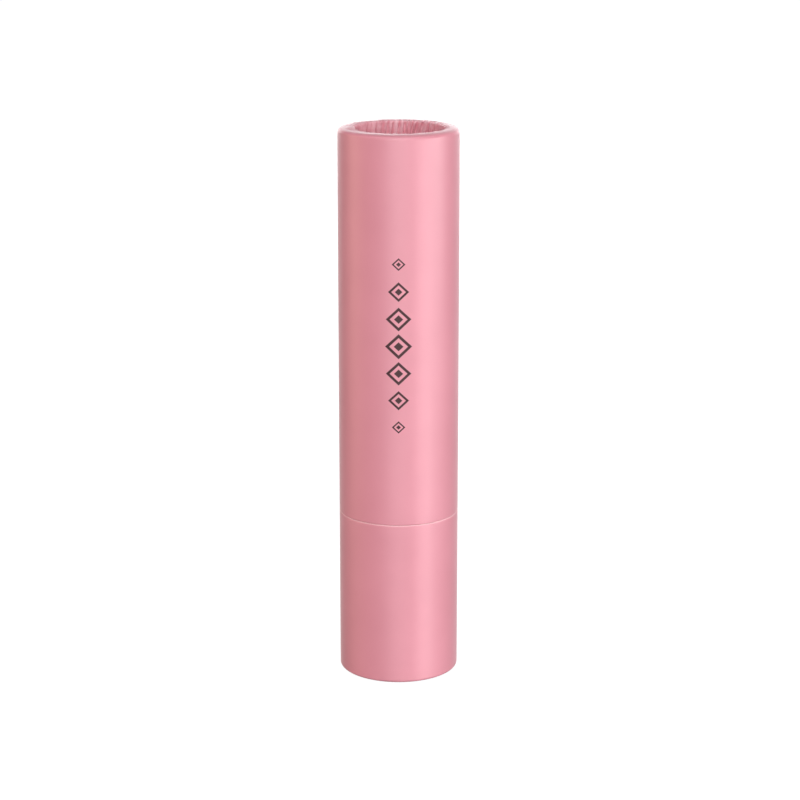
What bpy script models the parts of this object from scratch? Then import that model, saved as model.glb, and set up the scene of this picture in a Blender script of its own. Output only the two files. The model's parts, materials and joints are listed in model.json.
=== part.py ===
"""A twist-up lipstick in a paper-covered board tube.

A long cap pulls off the neck. The base holds a straight-slotted guide sleeve, and the neck that turns
in the base holds a sleeve with two helical slots. The cup that carries the lipstick has two lugs, which
pass through the straight slots into the helical ones, so turning the neck lifts the lipstick.

Units are metres and +Z is up. The origin is the middle of the foot, on the table.
"""

import math

import bmesh
import bpy
from mathutils import Matrix

MM = 0.001

# The closed tube, as it stands
TUBE_RADIUS = 9.5 * MM
CLOSED_HEIGHT = 88.2 * MM
BASE_HEIGHT = 26.55 * MM
SEAM_GAP = 0.12 * MM
TOP_ROUND = 0.95 * MM
FOOT_ROUND = 0.7 * MM
SEAM_ROUND = 0.18 * MM

# Papers and boards
WRAP_PAPER = 0.2 * MM
BOARD_WALL = 1.5 * MM
LINER_WALL = 0.2 * MM
DISC_THICKNESS = 1.2 * MM
GLUE_LINE = 0.05 * MM

# The wrap's turned-in ends, which the end discs close
TURN_IN_THICKNESS = 0.6 * MM
TURN_IN_ROUND = 0.45 * MM
CAP_RECESS = 4.5 * MM
BASE_RECESS = 1.0 * MM
FACING_MARGIN = 0.15 * MM

# The neck, which the cap slides over
RUNNING_GAP = 0.1 * MM
NECK_REACH = 20.45 * MM
NECK_PAPER = 0.15 * MM
NECK_WALL = 0.5 * MM
NECK_ROUND = 0.14 * MM

# The plug that fixes the mechanism in the base
PLUG_FLOOR = 0.6 * MM
PLUG_DEPTH = 1.1 * MM
PLUG_WALL = 1.0 * MM

# The two sleeves of the mechanism
CAM_WALL = 0.55 * MM
GUIDE_WALL = 0.5 * MM
FOOT_FLANGE = 1.2 * MM
FOOT_FLAT_CUT = 0.45 * MM
HUB_HEIGHT = 1.65 * MM
SLEEVE_END_GAP = 0.15 * MM
GROOVE_DEPTH = 0.35 * MM
GROOVE_HEIGHT = 0.6 * MM
GROOVE_ABOVE_FLANGE = 0.6 * MM
CAM_BELOW_MOUTH = 4.0 * MM
GUIDE_BELOW_MOUTH = 3.0 * MM

# The cup, its lugs and their slots
CUP_WALL = 0.4 * MM
CUP_FLOOR = 0.8 * MM
CUP_HEIGHT = 10.0 * MM
CUP_REST_GAP = 0.3 * MM
CUP_BELOW_MOUTH = 1.7 * MM
LUG_RADIUS = 0.8 * MM
LUG_ABOVE_CUP_FOOT = 2.3 * MM
LUG_GAP = 0.15 * MM
TURNS = 1.5

# The lipstick
TIP_BELOW_MOUTH = 0.6 * MM
NOSE_HEIGHT = 5.0 * MM
SLANT_SLOPE = math.radians(65)
SLANT_AHEAD = 0.8 * MM
SLANT_FACING = math.radians(-50)

# How finely round shapes are drawn
TUBE_STEPS = 48
SLEEVE_STEPS = 40
LUG_STEPS = 16
EDGE_STEPS = 3
FINE_EDGE_STEPS = 2
NOSE_STEPS = 7
HELIX_STEP = math.radians(15)
MERGE_DISTANCE = 0.001 * MM
SMOOTH_ANGLE = math.radians(35)
CUT_MARGIN = 0.5 * MM

# Radii, from the outside in
WRAP_INNER = TUBE_RADIUS - WRAP_PAPER
BOARD_OUTER = WRAP_INNER - GLUE_LINE
BOARD_INNER = BOARD_OUTER - BOARD_WALL
LINER_OUTER = BOARD_INNER - GLUE_LINE
LINER_INNER = LINER_OUTER - LINER_WALL
NECK_OUTER = LINER_INNER - RUNNING_GAP
NECK_TUBE_OUTER = NECK_OUTER - NECK_PAPER - GLUE_LINE
NECK_TUBE_INNER = NECK_TUBE_OUTER - NECK_WALL
CAM_OUTER = NECK_TUBE_INNER - GLUE_LINE
CAM_INNER = CAM_OUTER - CAM_WALL
GUIDE_OUTER = CAM_INNER - RUNNING_GAP
GUIDE_INNER = GUIDE_OUTER - GUIDE_WALL
CUP_OUTER = GUIDE_INNER - RUNNING_GAP
CUP_INNER = CUP_OUTER - CUP_WALL
BULLET_RADIUS = CUP_INNER - GLUE_LINE
TURN_IN_OUTER = BOARD_INNER - GLUE_LINE
TURN_IN_INNER = TURN_IN_OUTER - TURN_IN_THICKNESS
FACING_RADIUS = TURN_IN_INNER - FACING_MARGIN
PLUG_INNER = LINER_OUTER - PLUG_WALL
FOOT_RADIUS = PLUG_INNER - RUNNING_GAP

# Heights of the base and its plug, from the foot up
BASE_FACING_TOP = BASE_RECESS + WRAP_PAPER
BASE_DISC_FOOT = BASE_FACING_TOP + GLUE_LINE
BASE_DISC_TOP = BASE_DISC_FOOT + DISC_THICKNESS
PLUG_FOOT = BASE_DISC_TOP + GLUE_LINE
PLUG_SEAT = PLUG_FOOT + PLUG_FLOOR
PLUG_TOP = PLUG_SEAT + PLUG_DEPTH

# Heights of the mechanism
FOOT_BOTTOM = PLUG_SEAT + GLUE_LINE
FLANGE_TOP = FOOT_BOTTOM + FOOT_FLANGE
GUIDE_FLOOR = FLANGE_TOP + HUB_HEIGHT
GROOVE_LOW = FLANGE_TOP + GROOVE_ABOVE_FLANGE
GROOVE_HIGH = GROOVE_LOW + GROOVE_HEIGHT
CAM_FOOT = FLANGE_TOP + SLEEVE_END_GAP
NECK_FOOT = CAM_FOOT
NECK_TOP = BASE_HEIGHT + NECK_REACH
CAM_TOP = NECK_TOP - CAM_BELOW_MOUTH
GUIDE_TOP = NECK_TOP - GUIDE_BELOW_MOUTH
CUP_FOOT = GUIDE_FLOOR + CUP_REST_GAP
CUP_TOP = CUP_FOOT + CUP_HEIGHT
LUG_HEIGHT = CUP_FOOT + LUG_ABOVE_CUP_FOOT
STROKE = NECK_TOP - CUP_BELOW_MOUTH - CUP_TOP
BULLET_FOOT = CUP_FOOT + CUP_FLOOR + GLUE_LINE
BULLET_TIP = NECK_TOP - TIP_BELOW_MOUTH

# Heights of the cap
CAP_MOUTH = BASE_HEIGHT + SEAM_GAP
CAP_FACING_TOP = CLOSED_HEIGHT - CAP_RECESS
CAP_DISC_TOP = CAP_FACING_TOP - WRAP_PAPER - GLUE_LINE
CAP_DISC_FOOT = CAP_DISC_TOP - DISC_THICKNESS
CAP_LINER_TOP = CAP_DISC_FOOT - GLUE_LINE

MATERIALS = {
    "pink_wrap": ((0.80, 0.31, 0.37), 0.42),
    "board": ((0.62, 0.52, 0.40), 0.9),
    "white_paper": ((0.82, 0.80, 0.76), 0.6),
    "white_plastic": ((0.85, 0.85, 0.83), 0.35),
    "lipstick_wax": ((0.72, 0.29, 0.20), 0.3),
}


def clear_scene():
    """Empties the scene of whatever it opened with."""
    for obj in list(bpy.data.objects):
        bpy.data.objects.remove(obj)


def new_collection(name):
    """A collection linked to the scene."""
    made = bpy.data.collections.new(name)
    bpy.context.scene.collection.children.link(made)
    return made


def make_material(name):
    """A Principled material in the part's colour."""
    colour, roughness = MATERIALS[name]
    material = bpy.data.materials.new(name)
    material.use_nodes = True
    shader = material.node_tree.nodes["Principled BSDF"]
    shader.inputs["Base Color"].default_value = (*colour, 1)
    shader.inputs["Roughness"].default_value = roughness
    shader.inputs["Metallic"].default_value = 0
    return material


def baked(obj):
    """Makes the object's evaluated shape its own mesh, with its modifiers gone."""
    bpy.context.view_layer.update()
    graph = bpy.context.evaluated_depsgraph_get()
    mesh = bpy.data.meshes.new_from_object(obj.evaluated_get(graph))
    mesh.name = obj.name
    obj.modifiers.clear()
    obj.data = mesh
    return mesh


def turn_profile(obj, steps, angle=math.tau, rise=0.0):
    """Sweeps the object's profile round the Z axis, rising as it goes if asked to."""
    screw = obj.modifiers.new("turn", "SCREW")
    screw.angle = angle
    screw.screw_offset = rise
    screw.steps = screw.render_steps = steps
    screw.use_merge_vertices = rise == 0
    screw.merge_threshold = MERGE_DISTANCE
    return baked(obj)


def turned(name, profile, parent, material, steps=TUBE_STEPS):
    """A turned solid. Its (radius, height) profile runs down the outer side, then up the inner."""
    touches_axis = profile[0][0] == 0
    edges = [(i, i + 1) for i in range(len(profile) - 1)]
    if not touches_axis:
        edges.append((len(profile) - 1, 0))
    outline = bpy.data.meshes.new(name)
    outline.from_pydata([(radius, 0, height) for radius, height in profile], edges, [])
    obj = bpy.data.objects.new(name, outline)
    parts.objects.link(obj)
    obj.parent = parent
    mesh = turn_profile(obj, steps)
    mesh.materials.append(materials[material])
    mesh.shade_smooth()
    mesh.set_sharp_from_angle(angle=SMOOTH_ANGLE)
    return obj


def arc(radius, height, size, start, end, steps=EDGE_STEPS):
    """Points of a rounded edge in the profile's plane. Angles are in degrees, from outward towards up."""
    angles = [math.radians(start + (end - start) * i / steps) for i in range(steps + 1)]
    return [(radius + size * math.cos(a), height + size * math.sin(a)) for a in angles]


def box_of(name, size, centre):
    """A cutter in the shape of a box."""
    bpy.ops.mesh.primitive_cube_add(size=1, location=centre)
    obj = bpy.context.active_object
    obj.name = name
    obj.scale = size
    bpy.ops.object.transform_apply(location=True, rotation=False, scale=True)
    return as_cutter(obj)


def as_cutter(obj):
    """Moves an object among the cutters, which are never drawn."""
    for collection in list(obj.users_collection):
        collection.objects.unlink(obj)
    cutters.objects.link(obj)
    obj.hide_render = True
    obj.display_type = "WIRE"
    return obj


def combine(obj, operand, operation="DIFFERENCE"):
    """Adds a Boolean of the operand to the object."""
    boolean = obj.modifiers.new(operand.name, "BOOLEAN")
    boolean.operation = operation
    boolean.object = operand


def tube_profile(outer, inner, low, high):
    """The profile of a plain tube."""
    return [(outer, high), (outer, low), (inner, low), (inner, high)]


def disc_profile(radius, low, high):
    """The profile of a plain disc."""
    return [(0, high), (radius, high), (radius, low), (0, low)]


def mirrored(profile, height):
    """A profile turned upside down about a height, still running down its outer side."""
    return [(radius, 2 * height - z) for radius, z in reversed(profile)]


def wrap_profile(mouth, end, round_size, turn_in_end):
    """The covering paper's profile: over the rounded end, down to the mouth and back up its inner face."""
    flat_edge = TUBE_RADIUS - round_size
    inner_round = arc(TURN_IN_INNER + TURN_IN_ROUND, end - TURN_IN_ROUND, TURN_IN_ROUND, 180, 90)
    outer_round = arc(flat_edge, end - round_size, round_size, 90, 0)
    mouth_round = arc(TUBE_RADIUS - SEAM_ROUND, mouth + SEAM_ROUND, SEAM_ROUND, 0, -90, FINE_EDGE_STEPS)
    back_round = arc(flat_edge, end - round_size, round_size - WRAP_PAPER, 0, 90)
    return [
        (TURN_IN_INNER, turn_in_end),
        *inner_round,
        *outer_round,
        *mouth_round,
        (WRAP_INNER, mouth),
        *back_round,
        (TURN_IN_OUTER, end - WRAP_PAPER),
        (TURN_IN_OUTER, turn_in_end),
    ]


def board_profile(mouth, end, round_size):
    """The board tube's profile, with the rounded outer edge that the covering paper follows."""
    gap = WRAP_PAPER + GLUE_LINE
    return [
        (BOARD_INNER, end - gap),
        *arc(TUBE_RADIUS - round_size, end - round_size, round_size - gap, 90, 0),
        (BOARD_OUTER, mouth),
        (BOARD_INNER, mouth),
    ]


def build_cap(parent):
    """The cap: a covered board tube, its liner, and the end disc that the liner holds up."""
    profile = wrap_profile(CAP_MOUTH, CLOSED_HEIGHT, TOP_ROUND, CAP_DISC_TOP + GLUE_LINE)
    turned("cap_wrap", profile, parent, "pink_wrap")
    turned("cap_tube", board_profile(CAP_MOUTH, CLOSED_HEIGHT, TOP_ROUND), parent, "board")
    liner = tube_profile(LINER_OUTER, LINER_INNER, CAP_MOUTH, CAP_LINER_TOP)
    turned("cap_liner", liner, parent, "white_paper")
    turned("cap_end_disc", disc_profile(LINER_OUTER, CAP_DISC_FOOT, CAP_DISC_TOP), parent, "board")
    facing = disc_profile(FACING_RADIUS, CAP_FACING_TOP - WRAP_PAPER, CAP_FACING_TOP)
    turned("cap_disc_facing", facing, parent, "pink_wrap")


def build_base(parent):
    """The base: the cap's construction upside down, with its end disc near the table."""
    middle = BASE_HEIGHT / 2
    turn_in_end = BASE_HEIGHT - (BASE_DISC_FOOT - GLUE_LINE)
    profile = wrap_profile(0, BASE_HEIGHT, FOOT_ROUND, turn_in_end)
    turned("base_wrap", mirrored(profile, middle), parent, "pink_wrap")
    board = board_profile(0, BASE_HEIGHT, FOOT_ROUND)
    turned("base_tube", mirrored(board, middle), parent, "board")
    liner = tube_profile(LINER_OUTER, LINER_INNER, PLUG_TOP + GLUE_LINE, BASE_HEIGHT)
    turned("base_liner", liner, parent, "white_paper")
    turned("base_end_disc", disc_profile(LINER_OUTER, BASE_DISC_FOOT, BASE_DISC_TOP), parent, "board")
    facing = disc_profile(FACING_RADIUS, BASE_RECESS, BASE_FACING_TOP)
    turned("base_disc_facing", facing, parent, "pink_wrap")


def keyed_cylinder(name, radius, flat_to_flat, low, high):
    """A cutter in the shape of the guide sleeve's foot: a short cylinder with two flats."""
    bpy.ops.mesh.primitive_cylinder_add(
        vertices=SLEEVE_STEPS,
        radius=radius,
        depth=high - low,
        location=(0, 0, (low + high) / 2),
    )
    cylinder = as_cutter(bpy.context.active_object)
    cylinder.name = name
    tall = 2 * (high - low)
    flats = box_of(name + "_flats", (4 * radius, flat_to_flat, tall), (0, 0, (low + high) / 2))
    combine(cylinder, flats, "INTERSECT")
    return cylinder


def build_plug(parent):
    """The moulded plug glued in the base, whose keyed socket turns the guide sleeve's foot."""
    profile = disc_profile(LINER_OUTER, PLUG_FOOT, PLUG_TOP)
    plug = turned("base_plug", profile, parent, "white_plastic", SLEEVE_STEPS)
    flat_to_flat = 2 * (PLUG_INNER - FOOT_FLAT_CUT)
    socket = keyed_cylinder("socket", PLUG_INNER, flat_to_flat, PLUG_SEAT, PLUG_TOP + CUT_MARGIN)
    combine(plug, socket)


def build_guide_sleeve(parent):
    """The guide sleeve: a keyed foot, a grooved hub, and a tube with two straight slots."""
    groove = GUIDE_OUTER - GROOVE_DEPTH
    profile = [
        (0, GUIDE_FLOOR),
        (GUIDE_INNER, GUIDE_FLOOR),
        (GUIDE_INNER, GUIDE_TOP),
        (GUIDE_OUTER, GUIDE_TOP),
        (GUIDE_OUTER, GROOVE_HIGH),
        (groove, GROOVE_HIGH),
        (groove, GROOVE_LOW),
        (GUIDE_OUTER, GROOVE_LOW),
        (GUIDE_OUTER, FLANGE_TOP),
        (FOOT_RADIUS, FLANGE_TOP),
        (FOOT_RADIUS, FOOT_BOTTOM),
        (0, FOOT_BOTTOM),
    ]
    guide = turned("guide_sleeve", profile, parent, "white_plastic", SLEEVE_STEPS)
    flat_to_flat = 2 * (FOOT_RADIUS - FOOT_FLAT_CUT)
    key = box_of("foot_key", (4 * FOOT_RADIUS, flat_to_flat, 4 * GUIDE_TOP), (0, 0, 0))
    combine(guide, key, "INTERSECT")
    low = LUG_HEIGHT - LUG_RADIUS - LUG_GAP
    high = LUG_HEIGHT + STROKE + LUG_RADIUS + LUG_GAP
    width = 2 * (LUG_RADIUS + LUG_GAP)
    slot = box_of("straight_slot", (4 * GUIDE_OUTER, width, high - low), (0, 0, (low + high) / 2))
    combine(guide, slot)


def helical_cutter(name, azimuth):
    """A cutter for one helical slot, which climbs as it goes clockwise seen from above."""
    climb = STROKE / (TURNS * math.tau)
    end_angle = (LUG_RADIUS + LUG_GAP) / CAM_INNER
    half_height = (LUG_RADIUS + LUG_GAP) * math.hypot(1, climb / CAM_INNER)
    low = LUG_HEIGHT - climb * end_angle - half_height
    corners = tube_profile(CAM_OUTER + CUT_MARGIN, CAM_INNER - CUT_MARGIN, low, low + 2 * half_height)
    outline = bpy.data.meshes.new(name)
    outline.from_pydata([(x, 0, z) for x, z in corners], [(0, 1), (1, 2), (2, 3), (3, 0)], [])
    cutter = bpy.data.objects.new(name, outline)
    as_cutter(cutter)
    angle = TURNS * math.tau + 2 * end_angle
    turn_profile(cutter, math.ceil(angle / HELIX_STEP), -angle, climb * angle)
    shape = bmesh.new()
    shape.from_mesh(cutter.data)
    ends = [edge for edge in shape.edges if edge.is_boundary]
    bmesh.ops.holes_fill(shape, edges=ends, sides=4)
    bmesh.ops.recalc_face_normals(shape, faces=shape.faces)
    shape.to_mesh(cutter.data)
    shape.free()
    cutter.rotation_euler.z = azimuth + end_angle
    return cutter


def build_cam_sleeve(parent):
    """The cam sleeve: a tube with two helical slots, whose bead snaps into the guide sleeve's groove."""
    bead = GUIDE_OUTER - GROOVE_DEPTH + RUNNING_GAP
    profile = [
        (CAM_OUTER, CAM_TOP),
        (CAM_OUTER, CAM_FOOT),
        (CAM_INNER, CAM_FOOT),
        (CAM_INNER, GROOVE_LOW + RUNNING_GAP),
        (bead, GROOVE_LOW + RUNNING_GAP),
        (bead, GROOVE_HIGH - RUNNING_GAP),
        (CAM_INNER, GROOVE_HIGH - RUNNING_GAP),
        (CAM_INNER, CAM_TOP),
    ]
    cam = turned("cam_sleeve", profile, parent, "white_plastic", SLEEVE_STEPS)
    for name, azimuth in (("helical_slot_a", 0), ("helical_slot_b", math.pi)):
        combine(cam, helical_cutter(name, azimuth))


def build_neck(parent):
    """The neck: a thin board tube with its own paper, turned over its mouth."""
    tube_top = NECK_TOP - NECK_PAPER - GLUE_LINE
    board = tube_profile(NECK_TUBE_OUTER, NECK_TUBE_INNER, NECK_FOOT, tube_top)
    turned("neck_tube", board, parent, "board")
    paper_inner = NECK_OUTER - NECK_PAPER
    profile = [
        (NECK_TUBE_INNER, NECK_TOP),
        *arc(NECK_OUTER - NECK_ROUND, NECK_TOP - NECK_ROUND, NECK_ROUND, 90, 0, FINE_EDGE_STEPS),
        (NECK_OUTER, NECK_FOOT),
        (paper_inner, NECK_FOOT),
        (paper_inner, NECK_TOP - NECK_PAPER),
        (NECK_TUBE_INNER, NECK_TOP - NECK_PAPER),
    ]
    turned("neck_wrap", profile, parent, "white_paper")
    build_cam_sleeve(parent)


def lug(name, side):
    """One lug, lying along X from inside the cup's wall almost to the neck's bore."""
    start = (CUP_INNER + CUP_OUTER) / 2
    end = CAM_OUTER - GLUE_LINE
    bpy.ops.mesh.primitive_cylinder_add(
        vertices=LUG_STEPS,
        radius=LUG_RADIUS,
        depth=end - start,
        location=(side * (start + end) / 2, 0, LUG_HEIGHT),
        rotation=(0, math.pi / 2, 0),
    )
    obj = as_cutter(bpy.context.active_object)
    obj.name = name
    return obj


def build_cup(parent):
    """The cup, which grips the lipstick's foot and rides in the slots on its two lugs."""
    profile = [
        (0, CUP_FOOT + CUP_FLOOR),
        (CUP_INNER, CUP_FOOT + CUP_FLOOR),
        (CUP_INNER, CUP_TOP),
        (CUP_OUTER, CUP_TOP),
        (CUP_OUTER, CUP_FOOT),
        (0, CUP_FOOT),
    ]
    cup = turned("bullet_cup", profile, parent, "white_plastic", SLEEVE_STEPS)
    for name, side in (("lug_right", 1), ("lug_left", -1)):
        combine(cup, lug(name, side), "UNION")


def build_bullet(parent):
    """The lipstick: a cylinder with a rounded nose, cut off on a slant."""
    shoulder = BULLET_TIP - NOSE_HEIGHT
    angles = [math.radians(90 * i / NOSE_STEPS) for i in range(NOSE_STEPS, -1, -1)]
    nose = [(BULLET_RADIUS * math.cos(a), shoulder + NOSE_HEIGHT * math.sin(a)) for a in angles]
    nose[0] = (0, BULLET_TIP)
    profile = [*nose, (BULLET_RADIUS, BULLET_FOOT), (0, BULLET_FOOT)]
    bullet = turned("lipstick_bullet", profile, parent, "lipstick_wax", SLEEVE_STEPS)
    size = 4 * (BULLET_RADIUS + SLANT_AHEAD) * math.tan(SLANT_SLOPE)
    slant = box_of("slant", (size, size, size), (0, 0, size / 2))
    slant.data.transform(Matrix.Rotation(SLANT_SLOPE, 4, "Y"))
    facing_x, facing_y = math.cos(SLANT_FACING), math.sin(SLANT_FACING)
    slant.location = (SLANT_AHEAD * facing_x, SLANT_AHEAD * facing_y, BULLET_TIP)
    slant.rotation_euler.z = SLANT_FACING
    combine(bullet, slant)


def joint_frame(name, parent=None):
    """An empty on the tube's axis, which stands for a body that moves."""
    empty = bpy.data.objects.new(name, None)
    parts.objects.link(empty)
    empty.parent = parent
    return empty


clear_scene()
parts = new_collection("paper_tube_lipstick")
cutters = new_collection("cutters")
materials = {name: make_material(name) for name in MATERIALS}

base_body = joint_frame("base_body")
neck_body = joint_frame("neck_body", base_body)
carrier_body = joint_frame("carrier_body", base_body)
cap_body = joint_frame("cap_body", neck_body)

build_base(base_body)
build_plug(base_body)
build_guide_sleeve(base_body)
build_neck(neck_body)
build_cup(carrier_body)
build_bullet(carrier_body)
build_cap(cap_body)
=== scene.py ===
"""The looks of the paper tube lipstick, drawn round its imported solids.

The papers, boards, cup and lipstick are drawn again here more finely than the solids, at the same sizes.
Their radii and heights are read from the frame, and only what lies inside a solid, such as a paper's
thickness, is named again. Lengths are in metres, +Z is up, and the camera looks along +Y.
"""

import json
import math

import bpy
import numpy as np
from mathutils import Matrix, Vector


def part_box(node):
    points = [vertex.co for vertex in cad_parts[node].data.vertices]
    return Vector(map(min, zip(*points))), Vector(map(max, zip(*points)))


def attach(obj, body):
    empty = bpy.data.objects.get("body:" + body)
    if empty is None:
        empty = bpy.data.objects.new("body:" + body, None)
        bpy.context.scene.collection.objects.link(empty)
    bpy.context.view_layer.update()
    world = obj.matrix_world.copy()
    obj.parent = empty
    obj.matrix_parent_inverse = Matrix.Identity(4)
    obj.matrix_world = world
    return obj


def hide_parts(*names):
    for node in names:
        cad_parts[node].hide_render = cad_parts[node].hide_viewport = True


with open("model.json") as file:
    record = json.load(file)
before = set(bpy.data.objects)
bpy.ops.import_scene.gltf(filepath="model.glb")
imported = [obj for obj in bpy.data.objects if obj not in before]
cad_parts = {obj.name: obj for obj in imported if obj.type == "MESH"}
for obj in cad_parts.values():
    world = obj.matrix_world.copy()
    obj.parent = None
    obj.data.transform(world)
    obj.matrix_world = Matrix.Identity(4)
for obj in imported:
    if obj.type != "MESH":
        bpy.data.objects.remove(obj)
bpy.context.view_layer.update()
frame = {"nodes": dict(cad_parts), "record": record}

MM = 0.001


def radius_of(node):
    """A turned node's outer radius."""
    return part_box(node)[1].y


def foot_of(node):
    """The height of a node's lowest point."""
    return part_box(node)[0].z


def top_of(node):
    """The height of a node's highest point."""
    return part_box(node)[1].z


# Sizes read from the solids
TUBE_RADIUS = radius_of("cap_wrap")
RIM = top_of("cap_wrap")
CAP_MOUTH = foot_of("cap_wrap")
BASE_TOP = top_of("base_wrap")
BOARD_OUTER = radius_of("cap_tube")
LINER_OUTER = radius_of("cap_liner")
NECK_OUTER = radius_of("neck_wrap")
NECK_FOOT = foot_of("neck_wrap")
NECK_TOP = top_of("neck_wrap")
NECK_BOARD_OUTER = radius_of("neck_tube")
FACING_RADIUS = radius_of("cap_disc_facing")
CUP_OUTER = radius_of("bullet_cup")
CUP_FOOT = foot_of("bullet_cup")
CUP_TOP = top_of("bullet_cup")
LUG_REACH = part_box("bullet_cup")[1].x
BULLET_RADIUS = radius_of("lipstick_bullet")
BULLET_FOOT = foot_of("lipstick_bullet")
BULLET_TIP = top_of("lipstick_bullet")

# Papers and boards, as thick as the solids have them, and the plies that a board's cut edge shows
WRAP_PAPER = 0.2 * MM
BOARD_WALL = 1.5 * MM
BOARD_PLIES = 4
PLY_GROOVE = 0.045 * MM
LINER_WALL = 0.2 * MM
NECK_PAPER = 0.15 * MM
NECK_WALL = 0.5 * MM
GLUE_LINE = 0.05 * MM
TURN_IN_THICKNESS = 0.6 * MM
TURN_IN_OUTER = BOARD_OUTER - BOARD_WALL - GLUE_LINE
TURN_IN_INNER = TURN_IN_OUTER - TURN_IN_THICKNESS

# Rounded edges. An end's crown is a part of a superellipse: a larger power makes it flatter and sharper,
# as the top is on one side. A tube's edge radius is at most its wall's thickness divided by WALL_PER_EDGE.
TOP_ROUND = 0.95 * MM
TOP_FLATNESS = 2.9
TOP_SHARPER = 1.8
TOP_SHARPER_FACING = math.radians(214)
TOP_SHARPER_SPREAD = math.radians(38)
FOOT_ROUND = 0.7 * MM
FOOT_FLATNESS = 3.0
TURN_IN_ROUND = 0.45 * MM
BASE_MOUTH_ROUND = 0.17 * MM
CAP_MOUTH_ROUND = 0.07 * MM
MOUTH_STRETCH = 2.0
BASE_CORE_SHOWN = 0.13 * MM
CAP_CORE_SHOWN = 0.02 * MM
SEAM_CLOSING = 0.08 * MM
NECK_ROUND = 0.14 * MM
DISC_ROUND = 0.06 * MM
LIP_ROUND = 0.1 * MM
WALL_PER_EDGE = 2.5

# The cup and the lipstick
CUP_WALL = 0.4 * MM
CUP_FLOOR = 0.8 * MM
LUG_RADIUS = 0.8 * MM
LUG_HEIGHT = CUP_FOOT + 2.3 * MM
NOSE_HEIGHT = 5.0 * MM
SLANT_SLOPE = math.radians(65)
SLANT_AHEAD = 0.8 * MM
SLANT_FACING = math.radians(-50)
SLANT_EDGE = 0.3 * MM

# The gathered paper of a turned-in end. Its folds are widest and lean most on the coarse side.
PLEAT_WIDTH = 0.64 * MM
PLEAT_WIDTH_SWING = 0.24 * MM
PLEAT_WIDTH_SCATTER = 0.35
COARSE_SIDE = math.radians(62)
PLEAT_LEAN = -0.2
PLEAT_LEAN_WAVES = ((5, 0.09), (9, 0.06))
PLEAT_STARTS = (-0.1 * MM, 0.7 * MM)
PLEAT_REACH = 1.7 * MM
PLEAT_BITES = (0.2 * MM, 0.48 * MM)
PLEAT_TILTS = (0.04, 0.34)
PLEAT_EDGE = 0.07 * MM
PLEAT_GAP = 0.055 * MM
PLEAT_OPENINGS = (0.04, 0.17)
PLEAT_DEEPEST = 0.52 * MM
CAP_PLEAT_SEED = 7
BASE_PLEAT_SEED = 19
CREASE_REACH = 0.9 * MM
PINCH_HEIGHT = 0.7 * MM
PINCH_SHARE = 0.75

# How creased the paper is, which lightens its film, partly as painted light in the shaded hollow of the
# gathered end: the name of what each of a wrap's points keeps, and the run over which it grows
CREASE_AND_LIGHT = "gathered"
GATHERED_RUN = 1.0 * MM

# The side where the gathered paper lies thickest. Above the paper's end it stays flat for BULGE_START times
# BULGE_END, and then swells over BULGE_END.
BULGE = 0.36 * MM
BULGE_FACING = math.radians(184)
BULGE_SPREAD = math.radians(34)
BULGE_FADE = 1.0 * MM
BULGE_END = 1.6 * MM
BULGE_START = 0.2

# The lap where a rolled paper's two edges meet
LAP_STEP = 0.07 * MM
LAP_FADE = 2.2 * MM
CAP_LAP_EDGE = math.radians(112.5)
BASE_LAP_EDGE = math.radians(97.5)
NECK_LAP_EDGE = math.radians(236)

# The ornament printed on the cap. Its frame and heart are shares of a lozenge's size.
ORNAMENT_MIDDLE = 55.5 * MM
ORNAMENT_PITCH = 4.3 * MM
ORNAMENT_LAST_ROW = 3
ORNAMENT_HALF_WIDTH = 2.1 * MM
ORNAMENT_FILL = 0.46
ORNAMENT_SHRINK = 0.5
ORNAMENT_FRAME = 0.7
ORNAMENT_HEART = 0.36
ORNAMENT_EDGE = 0.02

# Colours. Each surface drifts from a darker to a lighter shade as its grain goes through a span.
PINK_SHADES = ((0.77, 0.293, 0.36), (0.80, 0.307, 0.378))
CORE_SHADES = ((0.88, 0.48, 0.53), (0.94, 0.6, 0.63))
BOARD_SHADES = ((0.52, 0.42, 0.31), (0.68, 0.58, 0.45))
PAPER_SHADES = ((0.79, 0.77, 0.73), (0.83, 0.81, 0.77))
PLASTIC_SHADES = ((0.83, 0.83, 0.81), (0.86, 0.86, 0.845))
WAX_SHADES = ((0.70, 0.275, 0.19), (0.74, 0.305, 0.215))
CLOUD_SPAN = (0.35, 0.65)
FIBRE_SPAN = (0.3, 0.7)

# The covering paper's creased film is lighter, in patches: partly the whitening of folded film, partly
# painted light that brightens the shaded hollow of its gathered end. Its ink is duller than its film
CREASE_AND_LIGHT_PINK = (0.95, 0.57, 0.63)
CREASE_AND_LIGHT_SHARES = (0.3, 1.0)
INK = (0.036, 0.002, 0.005)
INK_COAT = 0.05
FILM_COAT = 0.7

# The photograph's camera, and how many degrees it looks down
CAMERA_PLACE = (0.22 * MM, -364.2 * MM, 140.8 * MM)
CAMERA_TILT = 14.81
CAMERA_SENSOR = 36
CAMERA_LENS = 106.5

# The studio
TUBE_MIDDLE = RIM / 2
LEFT_LAMP_COLOUR = (1.0, 0.62, 0.45)
AMBIENT = 0.21
AMBIENT_COLOUR = (1.0, 0.98, 0.96)
BACKDROP_EDGES = (0.6, 0.9)
FLOOR_SIZE = 12
FLOOR_GLOW = 0.93
FLOOR_SHADE = 0.3
FLOOR_BOUNCE = 0.25

# How finely round shapes are drawn
WRAP_STEPS = 1200
TUBE_STEPS = 192
LUG_STEPS = 48
NOSE_STEPS = 48
CROWN_STEPS = 26
WALL_STEPS = 26
WALL_EDGE_STEPS = 10
SIDE_STEPS = 12
MOUTH_STEPS = 12
CUP_LIP_STEPS = 8
BACK_EDGE_STEPS = 6
SMALL_EDGE_STEPS = 4
SMOOTH_ANGLE = math.radians(40)

body_of = {node: body for body, nodes in frame["record"]["behaviour"]["bodies"].items() for node in nodes}


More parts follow.
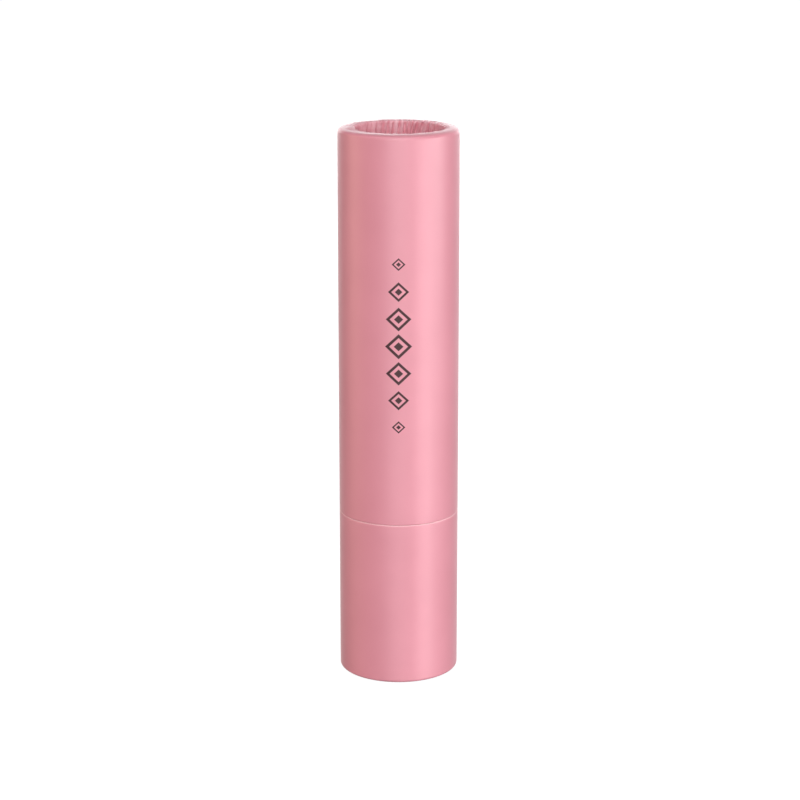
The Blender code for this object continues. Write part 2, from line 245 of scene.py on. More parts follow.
def arc(radius, height, size, start, end, steps=SMALL_EDGE_STEPS):
    """Profile points of a rounded edge, with each point's outward angle in degrees, from outward to up."""
    angles = [start + (end - start) * i / steps for i in range(steps + 1)]
    return [
        (radius + size * math.cos(math.radians(a)), height + size * math.sin(math.radians(a)), a)
        for a in angles
    ]


def points(profile):
    """A profile's radii and heights alone."""
    return [(station[0], station[1]) for station in profile]


def spread(start, end, steps):
    """Evenly spaced values from start to end, without start."""
    return [start + (end - start) * (i + 1) / steps for i in range(steps)]


def azimuths(steps):
    """The directions of a ring's points."""
    return np.arange(steps) * math.tau / steps


def ring(radius, height, steps):
    """A ring of points. Radius and height may each be one number or one for every point."""
    turn = azimuths(steps)
    around = np.broadcast_to(radius, steps)
    return np.stack([around * np.cos(turn), around * np.sin(turn), np.broadcast_to(height, steps)], axis=1)


def turned(profile, steps=TUBE_STEPS):
    """Rings of a turned shape. The profile runs down its outer side and up its inner one."""
    return [ring(radius, height, steps if radius > 0 else 1) for radius, height in profile]


def skin(name, rings, closed):
    """An object whose rings are joined one to the next. A ring of one point is a tip."""
    starts = np.cumsum([0] + [len(loop) for loop in rings])
    faces = []
    for upper in range(len(rings) if closed else len(rings) - 1):
        lower = (upper + 1) % len(rings)
        above, below = len(rings[upper]), len(rings[lower])
        steps = max(above, below)
        for i in range(steps):
            j = (i + 1) % steps
            corners = (
                starts[upper] + i % above,
                starts[lower] + i % below,
                starts[lower] + j % below,
                starts[upper] + j % above,
            )
            faces.append(list(dict.fromkeys(int(corner) for corner in corners)))
    mesh = bpy.data.meshes.new(name)
    mesh.from_pydata(np.concatenate(rings).tolist(), [], faces)
    mesh.shade_smooth()
    mesh.set_sharp_from_angle(angle=SMOOTH_ANGLE)
    obj = bpy.data.objects.new(name, mesh)
    bpy.context.scene.collection.objects.link(obj)
    return obj


def dress(piece, node, slot, *materials):
    """Puts a fine piece in a solid's place, on its body and with its materials."""
    for material in materials:
        piece.data.materials.append(material)
    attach(piece, body_of[node])
    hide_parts(node)
    return piece


def upside_down(rings, height):
    """Rings turned over about a height, in the order that keeps the shape's faces outward."""
    return [loop * (1, 1, -1) + (0, 0, 2 * height) for loop in reversed(rings)]


def bump_round(turn, facing, width):
    """A smooth bump round a ring: 1 at one direction, and fading on both sides of it."""
    apart = (turn - facing + math.pi) % math.tau - math.pi
    return np.exp(-((apart / width) ** 2))


class Pleats:
    """The folds of a wrap's turned-in end. Each flap laps over the next, and the gaps open as they run in."""

    def __init__(self, seed):
        chance = np.random.default_rng(seed)
        edges = [0.0]
        while edges[-1] < math.tau:
            width = PLEAT_WIDTH + PLEAT_WIDTH_SWING * math.cos(edges[-1] - COARSE_SIDE)
            width *= 1 + chance.uniform(-PLEAT_WIDTH_SCATTER, PLEAT_WIDTH_SCATTER)
            edges.append(edges[-1] + width / TURN_IN_INNER)
        self.edges = np.array(edges[:-1]) * math.tau / edges[-1]
        count = len(self.edges)
        widths = np.diff(edges) * TURN_IN_INNER
        self.bites = chance.uniform(*PLEAT_BITES, count) * widths / PLEAT_WIDTH
        self.starts = chance.uniform(*PLEAT_STARTS, count)
        self.tilts = chance.uniform(*PLEAT_TILTS, count)
        self.openings = chance.uniform(*PLEAT_OPENINGS, count)
        self.leans = PLEAT_LEAN * np.cos(self.edges - COARSE_SIDE)
        for waves, size in PLEAT_LEAN_WAVES:
            self.leans += size * np.sin(waves * self.edges + chance.uniform(0, math.tau))

    def depth(self, turn, run):
        """How far behind its crests the paper lies, after a run from where its creases begin."""
        edges = (self.edges - self.leans * run / TURN_IN_INNER) % math.tau
        order = np.argsort(edges)
        edges = edges[order]
        since = np.clip(run - self.starts[order], 0, None)
        growth = np.minimum(since / PLEAT_REACH, 1)
        here = (np.searchsorted(edges, turn, side="right") - 1) % len(edges)
        there = (here + 1) % len(edges)
        behind = (turn - edges[here]) % math.tau * TURN_IN_INNER
        ahead = (edges[there] - turn) % math.tau * TURN_IN_INNER
        tilted = self.tilts[order][here] * growth[here] * behind
        gap = PLEAT_GAP + self.openings[order][there] * since[there]
        dropped = self.bites[order][there] * growth[there] * np.exp(-((ahead / gap) ** 2))
        rise = np.exp(-((behind / PLEAT_EDGE) ** 2)) * self.bites[order][here] * growth[here]
        return np.minimum(np.maximum(tilted + dropped, rise), PLEAT_DEEPEST)


def lap_depth(turn, edge):
    """The small step down from a rolled paper's upper edge on to the layer beneath, and its fading."""
    past = (turn - edge) % math.tau * TUBE_RADIUS
    return LAP_STEP * np.exp(-past / LAP_FADE)


def gathered_wall(end, turn_in_end):
    """Stations of the paper from its turned-in end, up the inner wall and over the inner edge."""
    wall_top = end - TURN_IN_ROUND
    heights = [turn_in_end, *spread(turn_in_end, wall_top, WALL_STEPS)]
    edge = arc(TURN_IN_INNER + TURN_IN_ROUND, wall_top, TURN_IN_ROUND, 180, 90, WALL_EDGE_STEPS)
    return [(TURN_IN_INNER, height, 180) for height in heights] + edge[1:]


def crown(end, drop, flatness):
    """Stations over an end, from the top of its inner edge to its outer side, as a superellipse.

    The flatness is given for each direction round the end, and so are the stations.
    """
    start = TURN_IN_INNER + TURN_IN_ROUND
    width = TUBE_RADIUS - start
    stations = []
    for share in spread(0, math.pi / 2, CROWN_STEPS):
        across = math.sin(share) ** (2 / flatness)
        height = max(math.cos(share), 0) ** (2 / flatness)
        slope_out = across ** (flatness - 1) / width
        slope_up = height ** (flatness - 1) / drop
        angle = np.degrees(np.arctan2(slope_up, slope_out))
        stations.append((start + width * across, end - drop + drop * height, angle))
    return stations


def run_from_creases(stations):
    """Each station's distance along the paper from where the creases begin, on the crown."""
    middle = [(np.mean(radius), np.mean(height)) for radius, height, angle in stations]
    along = np.cumsum([0, *(math.dist(a, b) for a, b in zip(middle, middle[1:]))])
    crease_start = TURN_IN_INNER + TURN_IN_ROUND + CREASE_REACH
    return np.interp(crease_start, [radius for radius, height in middle], along) - along


def bulge(turn, radius, height, turn_in_end):
    """How far the gathered paper's thick side stands further in, fading over the crown and at its end."""
    over_crown = np.clip((TURN_IN_INNER + TURN_IN_ROUND + BULGE_FADE - radius) / BULGE_FADE, 0, 1)
    above_end = np.clip((height - turn_in_end) / BULGE_END - BULGE_START, 0, 1)
    return BULGE * bump_round(turn, BULGE_FACING, BULGE_SPREAD) * over_crown * above_end


def wrap_rings(mouth, end, drop, flatness, turn_in_end, mouth_round, seed, lap_edge):
    """Rings of a covering paper: its gathered end, its crown, its outer side, its mouth and its inner face.

    With them comes how creased the paper is at each point of the first rings, which lightens its film, partly
    as painted light.
    """
    turn = azimuths(WRAP_STEPS)
    over_end = gathered_wall(end, turn_in_end) + crown(end, drop, flatness)
    edge_top = mouth + mouth_round * MOUTH_STRETCH
    outer_side = [(TUBE_RADIUS, height, 0) for height in spread(end - drop, edge_top, SIDE_STEPS)]
    round_edge = arc(TUBE_RADIUS - mouth_round, mouth + mouth_round, mouth_round, 0, -90, MOUTH_STEPS)
    mouth_edge = [
        (radius, mouth + (height - mouth) * MOUTH_STRETCH, angle) for radius, height, angle in round_edge[1:]
    ]
    run = run_from_creases(over_end)
    # How creased the paper is, most on the coarse side. The film is lightened by it, partly as painted light
    # in the shaded hollow.
    coarse = (1 + np.cos(turn - COARSE_SIDE)) / 2
    gathered = np.outer(np.clip(run / GATHERED_RUN, 0, 1), coarse)
    lap = lap_depth(turn, lap_edge)
    pleats = Pleats(seed)
    rings = []
    for index, (radius, height, angle) in enumerate(over_end + outer_side + mouth_edge):
        depth = lap
        if index < len(run) and run[index] > 0:
            pinch = np.interp(height, [turn_in_end, turn_in_end + PINCH_HEIGHT], [1 - PINCH_SHARE, 1])
            depth = np.maximum(lap, pleats.depth(turn, run[index]) * pinch)
            radius = radius - bulge(turn, radius, height, turn_in_end)
        outward, up = np.cos(np.radians(angle)), np.sin(np.radians(angle))
        rings.append(ring(radius - depth * outward, height - depth * up, WRAP_STEPS))
    inner_side = TUBE_RADIUS - WRAP_PAPER
    back = [
        (inner_side, mouth),
        *points(arc(TUBE_RADIUS - drop, end - drop, drop - WRAP_PAPER, 0, 90, BACK_EDGE_STEPS)),
        (TURN_IN_OUTER, end - WRAP_PAPER),
        (TURN_IN_OUTER, turn_in_end),
    ]
    return rings + turned(back, WRAP_STEPS), gathered


def board_rings(mouth, end, round_size):
    """Rings of a board tube, whose mouth shows the plies it is wound from."""
    gap = WRAP_PAPER + GLUE_LINE
    board_inner = BOARD_OUTER - BOARD_WALL
    edge = arc(TUBE_RADIUS - round_size, end - round_size, round_size - gap, 90, 0, BACK_EDGE_STEPS)
    return turned([(board_inner, end - gap), *points(edge), *ply_edges(BOARD_OUTER, board_inner, mouth)])


def ply_edges(outer, inner, height):
    """Profile points across a cut board: each ply stands a little proud of the glue line beside it."""
    ply = (outer - inner) / BOARD_PLIES
    across = [(outer, height)]
    for index in range(1, BOARD_PLIES):
        line = outer - index * ply
        across += [(line + PLY_GROOVE, height), (line, height + PLY_GROOVE), (line - PLY_GROOVE, height)]
    return [*across, (inner, height)]


def tube(outer, inner, low, high, edge=LIP_ROUND):
    """The profile of a tube with small rounded edges."""
    edge = min(edge, (outer - inner) / WALL_PER_EDGE)
    return points(
        arc(outer - edge, high - edge, edge, 90, 0)
        + arc(outer - edge, low + edge, edge, 0, -90)
        + arc(inner + edge, low + edge, edge, -90, -180)
        + arc(inner + edge, high - edge, edge, 180, 90)
    )


def disc(radius, low, high):
    """The profile of a disc with small rounded edges."""
    middle = radius - DISC_ROUND
    upper_edge = arc(middle, high - DISC_ROUND, DISC_ROUND, 90, 0)
    lower_edge = arc(middle, low + DISC_ROUND, DISC_ROUND, 0, -90)
    return [(0, high), *points(upper_edge + lower_edge), (0, low)]


def smooth_least(first, second, width):
    """The lesser of two arrays, with a rounded change from one to the other."""
    near = np.clip(width - np.abs(first - second), 0, None) / width
    return np.minimum(first, second) - near**2 * width / 4


def bullet_rings():
    """Rings of the lipstick: a rounded nose, cut off on a slant, and a straight side."""
    turn = azimuths(TUBE_STEPS)
    shoulder = BULLET_TIP - NOSE_HEIGHT
    rings = [ring(0, BULLET_TIP, 1)]
    for polar in np.linspace(0, math.pi / 2, NOSE_STEPS + 1)[1:]:
        radius = BULLET_RADIUS * math.sin(polar)
        nose = shoulder + NOSE_HEIGHT * math.cos(polar)
        ahead = radius * np.cos(turn - SLANT_FACING) - SLANT_AHEAD
        slant = BULLET_TIP - ahead * math.tan(SLANT_SLOPE)
        top = smooth_least(np.full(TUBE_STEPS, nose), slant, SLANT_EDGE)
        rings.append(ring(radius, top, TUBE_STEPS))
    for share in spread(0, 1, SIDE_STEPS):
        rings.append(ring(BULLET_RADIUS, top + (BULLET_FOOT - top) * share, TUBE_STEPS))
    return [*rings, ring(0, BULLET_FOOT, 1)]


def new_material(name):
    """A material, its node tree and its shader."""
    material = bpy.data.materials.new(name)
    material.use_nodes = True
    return material, material.node_tree, material.node_tree.nodes["Principled BSDF"]


def feed(tree, socket, value):
    """Links a socket to another, or sets its value."""
    if isinstance(value, bpy.types.NodeSocket):
        tree.links.new(value, socket)
    else:
        socket.default_value = value


def add_node(tree, kind, settings=None, **inputs):
    """A shader node. Each input is a value or the socket that feeds it; underscores stand for spaces."""
    node = tree.nodes.new(kind)
    for name, value in (settings or {}).items():
        setattr(node, name, value)
    for name, value in inputs.items():
        feed(tree, node.inputs[name.replace("_", " ")], value)
    return node


def combined(tree, operation, first, second=0.0):
    """A socket for a sum, product or the like. Each of the two inputs is a socket or a number."""
    node = add_node(tree, "ShaderNodeMath", {"operation": operation})
    feed(tree, node.inputs[0], first)
    feed(tree, node.inputs[1], second)
    return node.outputs["Value"]


def grain(tree, size, stretch=(1, 1, 1), detail=3.0):
    """Noise with grains of the given size in metres, stretched along the tube's axes."""
    place = add_node(tree, "ShaderNodeTexCoord").outputs["Object"]
    scale = [1 / (size * share) for share in stretch]
    mapping = add_node(tree, "ShaderNodeMapping", Vector=place, Scale=scale)
    noise = add_node(tree, "ShaderNodeTexNoise", Vector=mapping.outputs["Vector"], Scale=1.0, Detail=detail)
    return noise.outputs["Fac"]


def blended(tree, share, first, second):
    """A colour between two, by a socket's share. The first may be a socket."""
    mix = add_node(tree, "ShaderNodeMix", {"data_type": "RGBA"}, Factor=share)
    colours = [socket for socket in mix.inputs if socket.type == "RGBA"]
    feed(tree, colours[0], first if isinstance(first, bpy.types.NodeSocket) else (*first, 1))
    feed(tree, colours[1], (*second, 1))
    return next(socket for socket in mix.outputs if socket.type == "RGBA")


def scaled(tree, value, low, high, to_low, to_high):
    """A value's range carried over to another range."""
    ranged = add_node(
        tree,
        "ShaderNodeMapRange",
        Value=value,
        From_Min=low,
        From_Max=high,
        To_Min=to_low,
        To_Max=to_high,
    )
    return ranged.outputs["Result"]


def shaded(tree, value, span, shades):
    """A colour that goes from the first shade to the second as a value goes through a span."""
    return blended(tree, scaled(tree, value, *span, 0, 1), *shades)


def relief(tree, height, depth, under=None):
    """A bump whose height of 1 stands for depth, in metres, over another bump if one is given."""
    bump = add_node(tree, "ShaderNodeBump", Height=height, Distance=depth, Strength=1.0)
    if under:
        tree.links.new(under, bump.inputs["Normal"])
    return bump.outputs["Normal"]


def ornament(tree):
    """A socket that is 1 where the print lies: a column of lozenges, each with a filled heart."""
    place = add_node(tree, "ShaderNodeTexCoord").outputs["Object"]
    axes = add_node(tree, "ShaderNodeSeparateXYZ", Vector=place).outputs
    turn = combined(tree, "ARCTAN2", axes["X"], combined(tree, "MULTIPLY", axes["Y"], -1.0))
    across = combined(tree, "DIVIDE", combined(tree, "ABSOLUTE", turn), ORNAMENT_HALF_WIDTH / TUBE_RADIUS)
    rows = combined(tree, "DIVIDE", combined(tree, "SUBTRACT", axes["Z"], ORNAMENT_MIDDLE), ORNAMENT_PITCH)
    row = combined(tree, "ROUND", rows)
    along = combined(tree, "ABSOLUTE", combined(tree, "SUBTRACT", rows, row))
    shrink = ORNAMENT_SHRINK / ORNAMENT_LAST_ROW**2
    shrunk = combined(tree, "MULTIPLY", combined(tree, "POWER", row, 2.0), shrink)
    size = combined(tree, "SUBTRACT", 1.0, shrunk)
    corner = combined(tree, "ADD", across, combined(tree, "DIVIDE", along, ORNAMENT_FILL))
    reach = combined(tree, "DIVIDE", corner, size)
    inside = [
        scaled(tree, reach, share - ORNAMENT_EDGE, share + ORNAMENT_EDGE, 1, 0)
        for share in (1, ORNAMENT_FRAME, ORNAMENT_HEART)
    ]
    outline = combined(tree, "SUBTRACT", inside[0], inside[1])
    drawn = combined(tree, "ADD", outline, inside[2])
    in_column = combined(tree, "LESS_THAN", combined(tree, "ABSOLUTE", row), ORNAMENT_LAST_ROW + 0.5)
    return combined(tree, "MULTIPLY", drawn, in_column)


def laminated_paper():
    """Printed pink paper under a satin film: fine fibres, the board's faint unevenness, a soft gloss, and a
    lighter film where it is gathered, partly painted light.
    """
    material, tree, shader = new_material("laminated_paper")
    cloud = grain(tree, 9 * MM, detail=2)
    fibre = grain(tree, 0.4 * MM, stretch=(1.6, 1.6, 0.7), detail=4)
    tint = shaded(tree, cloud, CLOUD_SPAN, PINK_SHADES)
    # Where the paper is gathered, its film is lightened in patches: partly crease whitening, partly painted
    # light in the shaded hollow of the turned-in end.
    gathered = add_node(tree, "ShaderNodeAttribute", {"attribute_name": CREASE_AND_LIGHT})
    patchy = scaled(tree, grain(tree, 1.1 * MM, detail=3), *CLOUD_SPAN, *CREASE_AND_LIGHT_SHARES)
    creased_and_lit = blended(tree, combined(tree, "MULTIPLY", gathered.outputs["Fac"], patchy), tint, CREASE_AND_LIGHT_PINK)
    print_here = ornament(tree)
    tree.links.new(blended(tree, print_here, creased_and_lit, INK), shader.inputs["Base Color"])
    tree.links.new(scaled(tree, print_here, 0, 1, FILM_COAT, INK_COAT), shader.inputs["Coat Weight"])
    tree.links.new(scaled(tree, fibre, *FIBRE_SPAN, 0.46, 0.52), shader.inputs["Roughness"])
    unevenness = relief(tree, grain(tree, 2.5 * MM, detail=2), 0.005 * MM)
    tree.links.new(relief(tree, fibre, 0.004 * MM, unevenness), shader.inputs["Normal"])
    shader.inputs["Coat Roughness"].default_value = 0.37
    return material


def paper_core():
    """The covering paper's cut edge, where its pale core shows beside the pink."""
    material, tree, shader = new_material("paper_core")
    fibre = grain(tree, 0.25 * MM, detail=4)
    tree.links.new(shaded(tree, fibre, FIBRE_SPAN, CORE_SHADES), shader.inputs["Base Color"])
    tree.links.new(relief(tree, fibre, 0.01 * MM), shader.inputs["Normal"])
    shader.inputs["Roughness"].default_value = 0.7
    return material


def raw_board():
    """Grey-brown wound board, with darker fibres and specks."""
    material, tree, shader = new_material("raw_board")
    fibre = grain(tree, 0.35 * MM, stretch=(2.2, 2.2, 0.6), detail=5)
    speck = grain(tree, 0.7 * MM, detail=1)
    tree.links.new(shaded(tree, fibre, FIBRE_SPAN, BOARD_SHADES), shader.inputs["Base Color"])
    tree.links.new(relief(tree, fibre, 0.03 * MM, relief(tree, speck, 0.02 * MM)), shader.inputs["Normal"])
    tree.links.new(scaled(tree, speck, *FIBRE_SPAN, 0.82, 0.95), shader.inputs["Roughness"])
    return material


def white_paper():
    """Smooth uncoated paper, a little warm, with soft fibres."""
    material, tree, shader = new_material("white_paper")
    fibre = grain(tree, 0.3 * MM, stretch=(1.8, 1.8, 0.7), detail=4)
    cloud = grain(tree, 4 * MM, detail=2)
    tree.links.new(shaded(tree, cloud, CLOUD_SPAN, PAPER_SHADES), shader.inputs["Base Color"])
    tree.links.new(relief(tree, fibre, 0.008 * MM), shader.inputs["Normal"])
    tree.links.new(scaled(tree, fibre, *FIBRE_SPAN, 0.56, 0.66), shader.inputs["Roughness"])
    return material


def moulded_plastic():
    """White moulded plastic with a fine spark-finished surface."""
    material, tree, shader = new_material("moulded_plastic")
    texture = grain(tree, 0.12 * MM, detail=2)
    flow = grain(tree, 5 * MM, stretch=(1, 1, 2.5), detail=1)
    tree.links.new(shaded(tree, flow, CLOUD_SPAN, PLASTIC_SHADES), shader.inputs["Base Color"])
    tree.links.new(relief(tree, texture, 0.003 * MM), shader.inputs["Normal"])
    tree.links.new(scaled(tree, flow, *FIBRE_SPAN, 0.3, 0.38), shader.inputs["Roughness"])
    return material


def lipstick_wax():
    """Coral cosmetic wax: a satin moulded surface with faint clouds and a soft glow."""
    material, tree, shader = new_material("lipstick_wax")
    cloud = grain(tree, 2.2 * MM, detail=3)
    pore = grain(tree, 0.18 * MM, detail=2)
    tree.links.new(shaded(tree, cloud, CLOUD_SPAN, WAX_SHADES), shader.inputs["Base Color"])
    tree.links.new(relief(tree, pore, 0.0015 * MM, relief(tree, cloud, 0.006 * MM)), shader.inputs["Normal"])
    tree.links.new(scaled(tree, cloud, *FIBRE_SPAN, 0.2, 0.27), shader.inputs["Roughness"])
    shader.inputs["Subsurface Weight"].default_value = 0.12
    shader.inputs["Subsurface Scale"].default_value = 0.6 * MM
    shader.inputs["Subsurface Radius"].default_value = (1.0, 0.45, 0.3)
    return material


def mark_crease_and_light(piece, shares):
    """Keeps on each point of a wrap how creased the paper is there, which lightens its film, partly as
    painted light.
    """
    values = np.zeros(len(piece.data.vertices))
    values[: shares.size] = shares.ravel()
    piece.data.attributes.new(CREASE_AND_LIGHT, "FLOAT", "POINT").data.foreach_set("value", values)


def show_core(piece, mouth, reach):
    """Gives the second material to the faces of a wrap's cut edge, up to a distance from its mouth."""
    for face in piece.data.polygons:
        face.material_index = int(abs(face.center.z - mouth) < reach)


def build_papers(pink, core):
    """The two covering papers and the facings of the end discs."""
    mouth = CAP_MOUTH - SEAM_CLOSING
    sharper = bump_round(azimuths(WRAP_STEPS), TOP_SHARPER_FACING, TOP_SHARPER_SPREAD)
    rings, shares = wrap_rings(
        mouth,
        RIM,
        TOP_ROUND,
        TOP_FLATNESS + TOP_SHARPER * sharper,
        turn_in_end=foot_of("cap_disc_facing"),
        mouth_round=CAP_MOUTH_ROUND,
        seed=CAP_PLEAT_SEED,
        lap_edge=CAP_LAP_EDGE,
    )
    cap = dress(skin("cap_paper", rings, closed=True), "cap_wrap", "pink_wrap", pink, core)
    show_core(cap, mouth, CAP_CORE_SHOWN)
    mark_crease_and_light(cap, shares)
    rings, shares = wrap_rings(
        0,
        BASE_TOP,
        FOOT_ROUND,
        np.full(WRAP_STEPS, FOOT_FLATNESS),
        turn_in_end=BASE_TOP - top_of("base_disc_facing"),
        mouth_round=BASE_MOUTH_ROUND,
        seed=BASE_PLEAT_SEED,
        lap_edge=BASE_LAP_EDGE,
    )
    flipped = upside_down(rings, BASE_TOP / 2)
    base = dress(skin("base_paper", flipped, closed=True), "base_wrap", "pink_wrap", pink, core)
    show_core(base, BASE_TOP, BASE_CORE_SHOWN)
    outside = np.zeros((len(rings) - len(shares), WRAP_STEPS))
    mark_crease_and_light(base, np.concatenate([outside, shares[::-1]]))
    for name, node in (("cap_disc_paper", "cap_disc_facing"), ("base_disc_paper", "base_disc_facing")):
        facing = turned(disc(FACING_RADIUS, foot_of(node), top_of(node)))
        dress(skin(name, facing, closed=False), node, "pink_wrap", pink)


def build_boards(board):
    """The two wound tubes and their end discs."""
    cap_board = board_rings(CAP_MOUTH, RIM, TOP_ROUND)
    dress(skin("cap_board", cap_board, closed=True), "cap_tube", "board", board)
    base_board = upside_down(board_rings(0, BASE_TOP, FOOT_ROUND), BASE_TOP / 2)
    dress(skin("base_board", base_board, closed=True), "base_tube", "board", board)
    for name, node in (("cap_disc_board", "cap_end_disc"), ("base_disc_board", "base_end_disc")):
        rings = turned(disc(LINER_OUTER, foot_of(node), top_of(node)))
        dress(skin(name, rings, closed=False), node, "board", board)


def build_liners(paper):
    """The paper tubes inside the cap and the base."""
    for name, node in (("cap_lining", "cap_liner"), ("base_lining", "base_liner")):
        rings = turned(tube(LINER_OUTER, LINER_OUTER - LINER_WALL, foot_of(node), top_of(node)))
        dress(skin(name, rings, closed=True), node, "white_paper", paper)


def build_neck(board, paper):
    """The neck's board tube and its paper, turned over the mouth."""
    bore = NECK_BOARD_OUTER - NECK_WALL
    board_tube = tube(NECK_BOARD_OUTER, bore, NECK_FOOT, top_of("neck_tube"), LIP_ROUND / 2)
    dress(skin("neck_board", turned(board_tube), closed=True), "neck_tube", "board", board)
    paper_inner = NECK_OUTER - NECK_PAPER
    lap = lap_depth(azimuths(WRAP_STEPS), NECK_LAP_EDGE)
    mouth_edge = arc(NECK_OUTER - NECK_ROUND, NECK_TOP - NECK_ROUND, NECK_ROUND, 90, 0, BACK_EDGE_STEPS)
    outside = [*points(mouth_edge), (NECK_OUTER, NECK_FOOT)]
    inside = [
        (paper_inner, NECK_FOOT),
        (paper_inner, NECK_TOP - NECK_PAPER),
        (bore, NECK_TOP - NECK_PAPER),
        (bore, NECK_TOP - NECK_ROUND / 2),
        (bore + NECK_ROUND / 2, NECK_TOP),
    ]
    rings = [ring(radius - lap, height, WRAP_STEPS) for radius, height in outside]
    rings += turned(inside, WRAP_STEPS)
    dress(skin("neck_paper", rings, closed=True), "neck_wrap", "white_paper", paper)


def lug(name, side):
    """A lug of the cup, lying along X, to be joined to the cup."""
    start = CUP_OUTER - CUP_WALL / 2
    bpy.ops.mesh.primitive_cylinder_add(
        vertices=LUG_STEPS,
        radius=LUG_RADIUS,
        depth=LUG_REACH - start,
        location=(side * (start + LUG_REACH) / 2, 0, LUG_HEIGHT),
        rotation=(0, math.pi / 2, 0),
    )
    obj = bpy.context.active_object
    obj.name = name
    return obj


def joined(piece, others):
    """Joins other objects to a piece by Boolean union, and removes them."""
    for other in others:
        union = piece.modifiers.new(other.name, "BOOLEAN")
        union.operation = "UNION"
        union.object = other
    bpy.context.view_layer.update()
    graph = bpy.context.evaluated_depsgraph_get()
    mesh = bpy.data.meshes.new_from_object(piece.evaluated_get(graph))
    piece.modifiers.clear()
    piece.data = mesh
    for other in others:
        bpy.data.objects.remove(other)
    mesh.shade_smooth()
    mesh.set_sharp_from_angle(angle=SMOOTH_ANGLE)
    return piece


def build_cup(plastic):
    """The cup, with a rounded lip and its two lugs."""
    inner = CUP_OUTER - CUP_WALL
    lip = (CUP_OUTER + inner) / 2
    profile = [
        (0, CUP_FOOT + CUP_FLOOR),
        (inner, CUP_FOOT + CUP_FLOOR),
        *points(arc(lip, CUP_TOP - CUP_WALL / 2, CUP_WALL / 2, 180, 0, CUP_LIP_STEPS)),
        *points(arc(CUP_OUTER - LIP_ROUND, CUP_FOOT + LIP_ROUND, LIP_ROUND, 0, -90)),
        (0, CUP_FOOT),
    ]
    cup = joined(skin("cup", turned(profile), closed=False), [lug("lug_right", 1), lug("lug_left", -1)])
    dress(cup, "bullet_cup", "white_plastic", plastic)


def softbox(name, azimuth, elevation, distance, width, height, power, colour=(1, 1, 1)):
    """A soft lamp. Azimuth is in degrees to the right of the camera's side, seen from the tube.

    A lamp below the table stands for one that the table reflects, so it is seen in gloss alone.
    """
    lamp = bpy.data.lights.new(name, "AREA")
    lamp.shape = "RECTANGLE"
    lamp.size = width
    lamp.size_y = height
    lamp.energy = power
    lamp.color = colour
    obj = bpy.data.objects.new(name, lamp)
    bpy.context.scene.collection.objects.link(obj)
    side, rise = math.radians(azimuth), math.radians(elevation)
    across = distance * math.cos(rise)
    height_above = distance * math.sin(rise)
    obj.location = (across * math.sin(side), -across * math.cos(side), TUBE_MIDDLE + height_above)
    to_tube = Vector((0, 0, TUBE_MIDDLE)) - obj.location
    obj.rotation_euler = to_tube.to_track_quat("-Z", "Y").to_euler()
    obj.visible_camera = False
    obj.visible_diffuse = obj.location.z > 0


def seen_rays(tree, glossy_share=None):
    """A socket that is 1 for rays from the camera, from gloss and through glass, and 0 for the rest."""
    path = add_node(tree, "ShaderNodeLightPath")
    glossy = path.outputs["Is Glossy Ray"]
    if glossy_share:
        glossy = combined(tree, "MULTIPLY", glossy, glossy_share)
    either = combined(tree, "MAXIMUM", path.outputs["Is Camera Ray"], glossy)
    return combined(tree, "MAXIMUM", either, path.outputs["Is Transmission Ray"])


def between(tree, share, first, second):
    """A shader between two others, by a socket's share."""
    mix = add_node(tree, "ShaderNodeMixShader")
    for source, socket in zip((share, first.outputs[0], second.outputs[0]), mix.inputs):
        tree.links.new(source, socket)
    return mix


def build_world():
    """A white surround, which lights the object softly. Gloss shows it as white behind the tube only."""
    world = bpy.data.worlds.new("studio")
    bpy.context.scene.world = world
    world.use_nodes = True
    tree = world.node_tree
    tree.nodes.clear()
    ambient = add_node(tree, "ShaderNodeBackground", Color=(*AMBIENT_COLOUR, 1), Strength=AMBIENT)
    white = add_node(tree, "ShaderNodeBackground", Color=(1, 1, 1, 1), Strength=1.0)
    direction = add_node(tree, "ShaderNodeTexCoord").outputs["Generated"]
    behind = add_node(tree, "ShaderNodeSeparateXYZ", Vector=direction).outputs["Y"]
    seen_white = seen_rays(tree, scaled(tree, behind, *BACKDROP_EDGES, 0, 1))
    surround = between(tree, seen_white, ambient, white)
    add_node(tree, "ShaderNodeOutputWorld", Surface=surround.outputs[0])


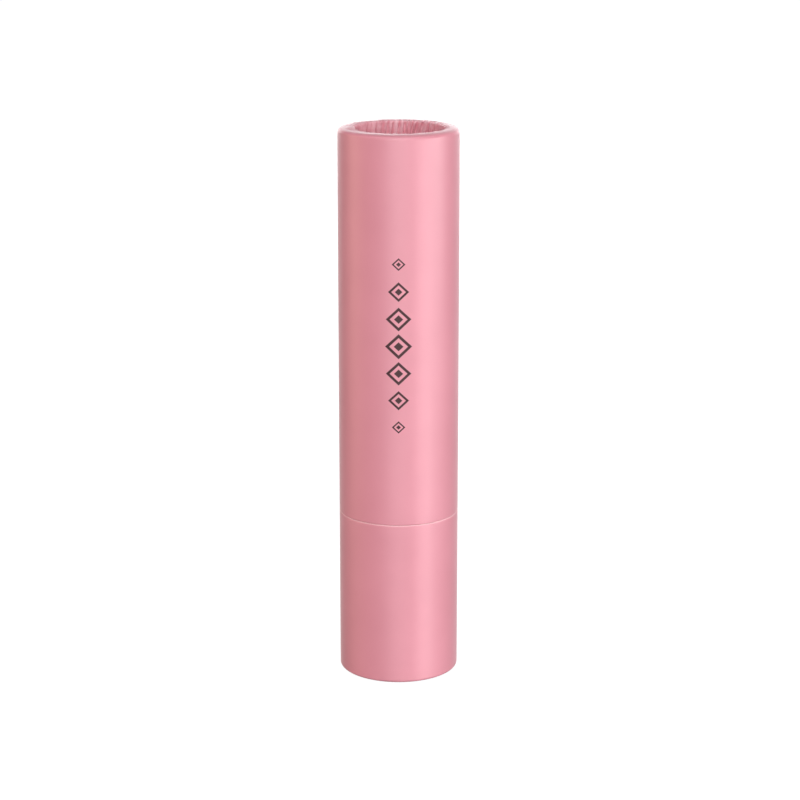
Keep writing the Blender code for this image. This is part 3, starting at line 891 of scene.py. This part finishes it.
def build_floor():
    """A white floor, which shows only the soft shadow where the tube stands."""
    bpy.ops.mesh.primitive_plane_add(size=FLOOR_SIZE)
    floor = bpy.context.active_object
    floor.name = "floor"
    material = bpy.data.materials.new("floor")
    material.use_nodes = True
    tree = material.node_tree
    tree.nodes.clear()
    plain = add_node(tree, "ShaderNodeBsdfDiffuse", Color=(*[FLOOR_BOUNCE] * 3, 1))
    shadow = add_node(tree, "ShaderNodeBsdfDiffuse", Color=(*[FLOOR_SHADE] * 3, 1))
    glow = add_node(tree, "ShaderNodeEmission", Color=(1, 1, 1, 1), Strength=FLOOR_GLOW)
    seen = add_node(tree, "ShaderNodeAddShader")
    tree.links.new(shadow.outputs[0], seen.inputs[0])
    tree.links.new(glow.outputs[0], seen.inputs[1])
    surface = between(tree, seen_rays(tree), plain, seen)
    add_node(tree, "ShaderNodeOutputMaterial", Surface=surface.outputs[0])
    floor.data.materials.append(material)
    floor.visible_glossy = False
    floor.visible_shadow = False


def build_camera():
    """The photograph's camera, a little above the tube's top and looking down on it."""
    camera = bpy.data.cameras.new("camera")
    camera.sensor_width = CAMERA_SENSOR
    camera.lens = CAMERA_LENS
    camera.clip_start = 0.01
    camera.clip_end = 20
    obj = bpy.data.objects.new("camera", camera)
    bpy.context.scene.collection.objects.link(obj)
    obj.location = CAMERA_PLACE
    obj.rotation_euler = (math.radians(90 - CAMERA_TILT), 0, 0)
    bpy.context.scene.camera = obj


pink = laminated_paper()
core = paper_core()
board = raw_board()
paper = white_paper()
plastic = moulded_plastic()

build_papers(pink, core)
build_boards(board)
build_liners(paper)
build_neck(board, paper)
build_cup(plastic)
dress(skin("lipstick", bullet_rings(), closed=False), "lipstick_bullet", "lipstick_wax", lipstick_wax())
for node in ("base_plug", "guide_sleeve", "cam_sleeve"):
    frame["nodes"][node].data.materials.clear()
    frame["nodes"][node].data.materials.append(plastic)

build_world()
build_floor()
softbox("key", 50, 3, 1.0, 0.47, 0.36, 2.0)
softbox("key_in_table", 50, -18, 1.0, 0.47, 0.38, 2.45)
softbox("front", -2, 24, 2.0, 1.1, 0.9, 12.9)
softbox("front_in_table", -2, -22, 2.0, 1.1, 0.9, 4.5)
softbox("low_front", 0, 4, 1.2, 0.8, 0.24, 3.3)
softbox("overhead", 10, 62, 1.5, 0.5, 0.4, 4.9)
softbox("left_side", -90, 1, 0.9, 0.45, 0.38, 1.85, LEFT_LAMP_COLOUR)
softbox("left_in_table", -90, -18, 0.9, 0.45, 0.38, 0.25, LEFT_LAMP_COLOUR)
softbox("right_side", 78, 2, 0.9, 0.36, 0.2, 2.7)
softbox("backdrop", 180, 8, 0.6, 0.9, 0.25, 1.7)
build_camera()
bpy.context.scene.view_settings.view_transform = "Standard"
